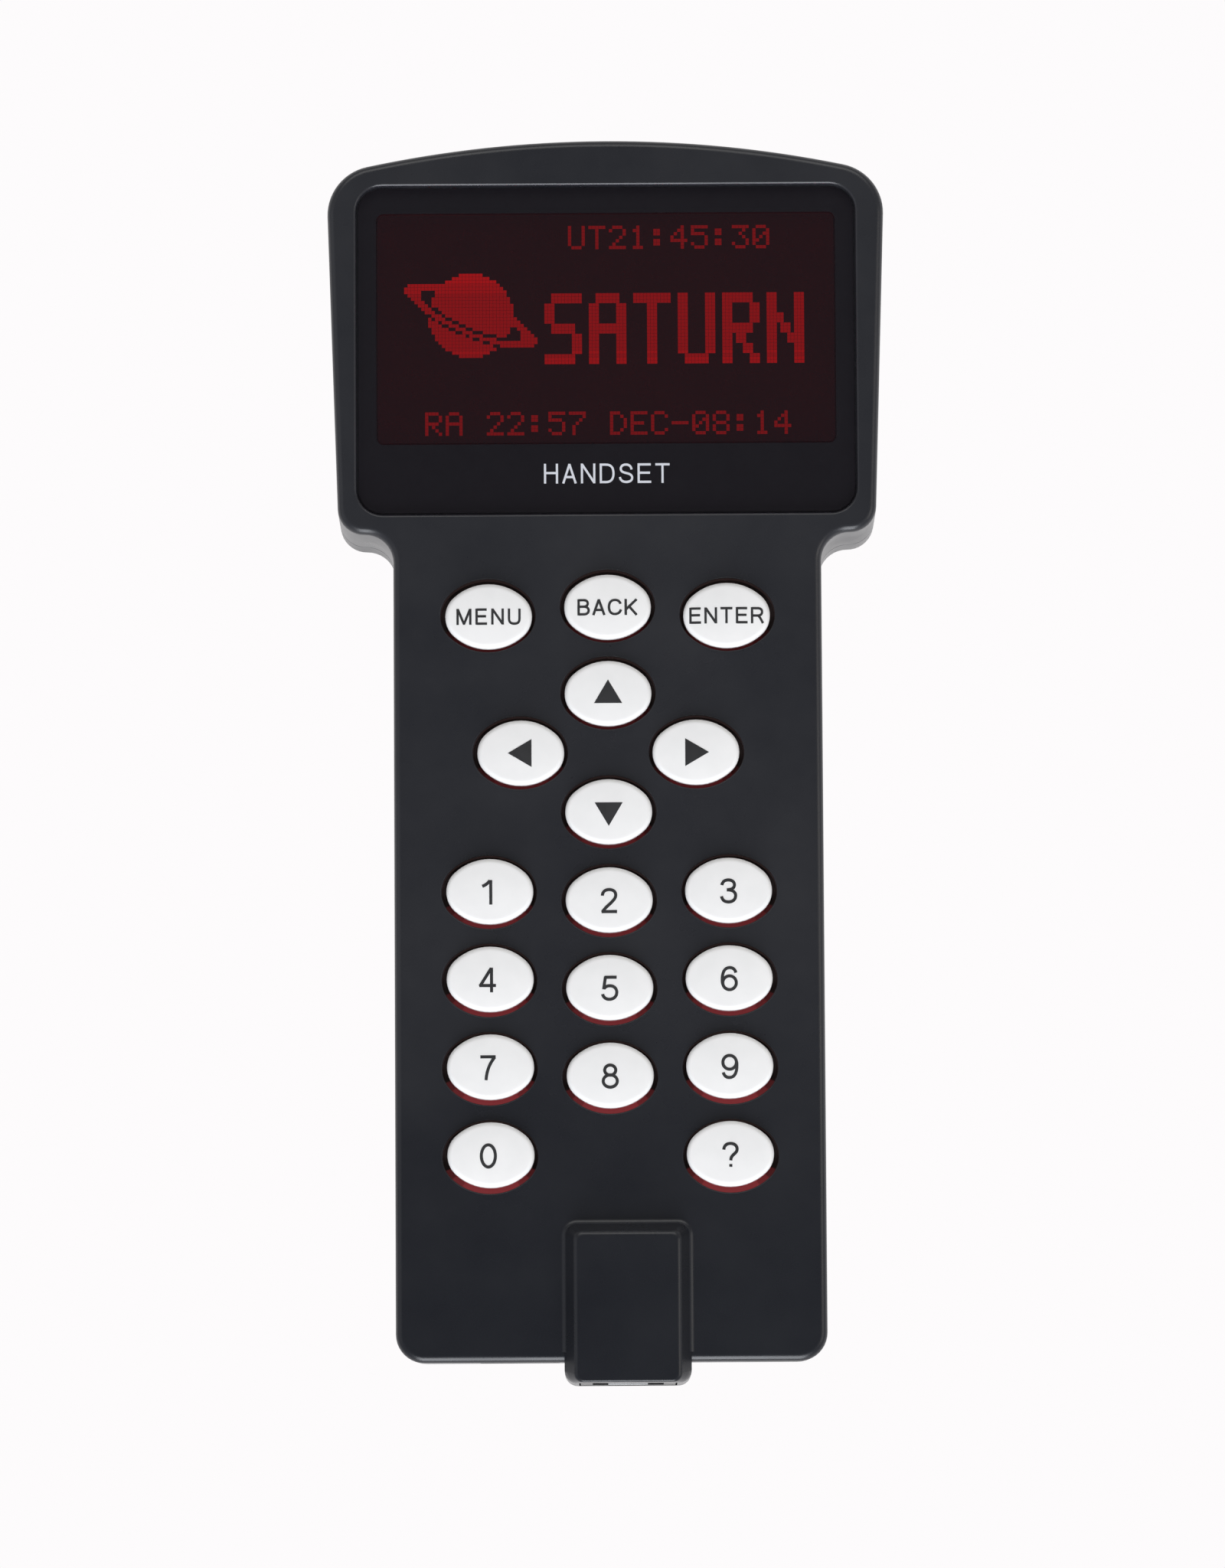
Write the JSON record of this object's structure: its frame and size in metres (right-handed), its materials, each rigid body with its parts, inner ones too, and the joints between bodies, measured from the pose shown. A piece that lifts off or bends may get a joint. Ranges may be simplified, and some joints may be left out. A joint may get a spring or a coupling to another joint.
{
  "type": "telescope hand controller",
  "caption": "Slim dark handset with a wide head, a red dot-matrix display window, white oval keys on its grip, and a raised socket housing at its lower end.",
  "frame": {"origin": "middle of the outer box, on the flat back of the case", "axes": "+X to the right of the keypad, +Y from the sockets towards the display, +Z out of the front face"},
  "size_m": [0.078, 0.1746, 0.0234],
  "materials": {
    "case_plastic": "fine spark-eroded texture, satin black-grey",
    "window_acrylic": "clear acrylic printed black on its back, with a dark red clear area",
    "key_rubber": "smooth white silicone rubber with dark grey printed legends",
    "keypad_rubber": "translucent off-white silicone rubber",
    "screw_steel": "zinc plated",
    "label_film": "plain printed film with no lettering",
    "black_foam_tape": "double-sided black tape",
    "red_film": "deep red translucent film",
    "polariser_film": "dark polarising film",
    "display_glass": "thin display glass",
    "black_plastic": "moulded black",
    "circuit_board": "green solder mask over glass-fibre board",
    "flex_film": "amber polyimide film",
    "cable_film": "white flat cable",
    "connector_plastic": "natural nylon",
    "led_resin": "clear resin over a red chip",
    "chip_epoxy": "moulded epoxy package",
    "bright_can": "drawn can",
    "cell_steel": "nickel-plated steel",
    "ferrite": "ground ferrite",
    "contact_gold": "gold-plated phosphor bronze",
    "socket_plastic": "moulded black thermoplastic"
  },
  "bodies": {
    "case": {"front_shell": "case_plastic", "rear_shell": "case_plastic", "case_screws": "screw_steel", "rear_label": "label_film", "display_window": "window_acrylic", "window_tape": "black_foam_tape", "red_filter": "red_film", "display_polariser": "polariser_film", "display_glass": "display_glass", "display_backplate": "display_glass", "display_frame": "black_plastic", "display_board": "circuit_board", "display_flex": "flex_film", "display_screws": "screw_steel", "display_cable": "cable_film", "cable_connectors": "connector_plastic", "main_board": "circuit_board", "board_screws": "screw_steel", "keypad_mat": "keypad_rubber", "key_webs": "keypad_rubber", "backlight_leds": "led_resin", "microcontroller": "chip_epoxy", "flash_memory": "chip_epoxy", "crystal": "bright_can", "coin_cell": "cell_steel", "cell_holder": "black_plastic", "buzzer": "black_plastic", "voltage_regulator": "chip_epoxy", "capacitors": "bright_can", "inductor": "ferrite", "socket_board": "circuit_board", "socket_screws": "screw_steel", "link_header": "black_plastic", "link_pins": "contact_gold", "mount_socket": "socket_plastic", "mount_contacts": "contact_gold", "serial_socket": "socket_plastic", "serial_contacts": "contact_gold"},
    "key_menu_body": {"key_menu": "key_rubber"},
    "key_back_body": {"key_back": "key_rubber"},
    "key_enter_body": {"key_enter": "key_rubber"},
    "key_up_body": {"key_up": "key_rubber"},
    "key_left_body": {"key_left": "key_rubber"},
    "key_right_body": {"key_right": "key_rubber"},
    "key_down_body": {"key_down": "key_rubber"},
    "key_1_body": {"key_1": "key_rubber"},
    "key_2_body": {"key_2": "key_rubber"},
    "key_3_body": {"key_3": "key_rubber"},
    "key_4_body": {"key_4": "key_rubber"},
    "key_5_body": {"key_5": "key_rubber"},
    "key_6_body": {"key_6": "key_rubber"},
    "key_7_body": {"key_7": "key_rubber"},
    "key_8_body": {"key_8": "key_rubber"},
    "key_9_body": {"key_9": "key_rubber"},
    "key_0_body": {"key_0": "key_rubber"},
    "key_help_body": {"key_help": "key_rubber"}
  },
  "joints": [
    {"name": "key_menu_press", "type": "slide", "parent": "case", "child": "key_menu_body", "axis": [0, 0, -1], "range_m": [0, 0.001], "stiffness_N_per_m": 1500, "deforming": ["key_webs"]},
    {"name": "key_back_press", "type": "slide", "parent": "case", "child": "key_back_body", "axis": [0, 0, -1], "range_m": [0, 0.001], "stiffness_N_per_m": 1500, "deforming": ["key_webs"]},
    {"name": "key_enter_press", "type": "slide", "parent": "case", "child": "key_enter_body", "axis": [0, 0, -1], "range_m": [0, 0.001], "stiffness_N_per_m": 1500, "deforming": ["key_webs"]},
    {"name": "key_up_press", "type": "slide", "parent": "case", "child": "key_up_body", "axis": [0, 0, -1], "range_m": [0, 0.001], "stiffness_N_per_m": 1500, "deforming": ["key_webs"]},
    {"name": "key_left_press", "type": "slide", "parent": "case", "child": "key_left_body", "axis": [0, 0, -1], "range_m": [0, 0.001], "stiffness_N_per_m": 1500, "deforming": ["key_webs"]},
    {"name": "key_right_press", "type": "slide", "parent": "case", "child": "key_right_body", "axis": [0, 0, -1], "range_m": [0, 0.001], "stiffness_N_per_m": 1500, "deforming": ["key_webs"]},
    {"name": "key_down_press", "type": "slide", "parent": "case", "child": "key_down_body", "axis": [0, 0, -1], "range_m": [0, 0.001], "stiffness_N_per_m": 1500, "deforming": ["key_webs"]},
    {"name": "key_1_press", "type": "slide", "parent": "case", "child": "key_1_body", "axis": [0, 0, -1], "range_m": [0, 0.001], "stiffness_N_per_m": 1500, "deforming": ["key_webs"]},
    {"name": "key_2_press", "type": "slide", "parent": "case", "child": "key_2_body", "axis": [0, 0, -1], "range_m": [0, 0.001], "stiffness_N_per_m": 1500, "deforming": ["key_webs"]},
    {"name": "key_3_press", "type": "slide", "parent": "case", "child": "key_3_body", "axis": [0, 0, -1], "range_m": [0, 0.001], "stiffness_N_per_m": 1500, "deforming": ["key_webs"]},
    {"name": "key_4_press", "type": "slide", "parent": "case", "child": "key_4_body", "axis": [0, 0, -1], "range_m": [0, 0.001], "stiffness_N_per_m": 1500, "deforming": ["key_webs"]},
    {"name": "key_5_press", "type": "slide", "parent": "case", "child": "key_5_body", "axis": [0, 0, -1], "range_m": [0, 0.001], "stiffness_N_per_m": 1500, "deforming": ["key_webs"]},
    {"name": "key_6_press", "type": "slide", "parent": "case", "child": "key_6_body", "axis": [0, 0, -1], "range_m": [0, 0.001], "stiffness_N_per_m": 1500, "deforming": ["key_webs"]},
    {"name": "key_7_press", "type": "slide", "parent": "case", "child": "key_7_body", "axis": [0, 0, -1], "range_m": [0, 0.001], "stiffness_N_per_m": 1500, "deforming": ["key_webs"]},
    {"name": "key_8_press", "type": "slide", "parent": "case", "child": "key_8_body", "axis": [0, 0, -1], "range_m": [0, 0.001], "stiffness_N_per_m": 1500, "deforming": ["key_webs"]},
    {"name": "key_9_press", "type": "slide", "parent": "case", "child": "key_9_body", "axis": [0, 0, -1], "range_m": [0, 0.001], "stiffness_N_per_m": 1500, "deforming": ["key_webs"]},
    {"name": "key_0_press", "type": "slide", "parent": "case", "child": "key_0_body", "axis": [0, 0, -1], "range_m": [0, 0.001], "stiffness_N_per_m": 1500, "deforming": ["key_webs"]},
    {"name": "key_help_press", "type": "slide", "parent": "case", "child": "key_help_body", "axis": [0, 0, -1], "range_m": [0, 0.001], "stiffness_N_per_m": 1500, "deforming": ["key_webs"]}
  ]
}
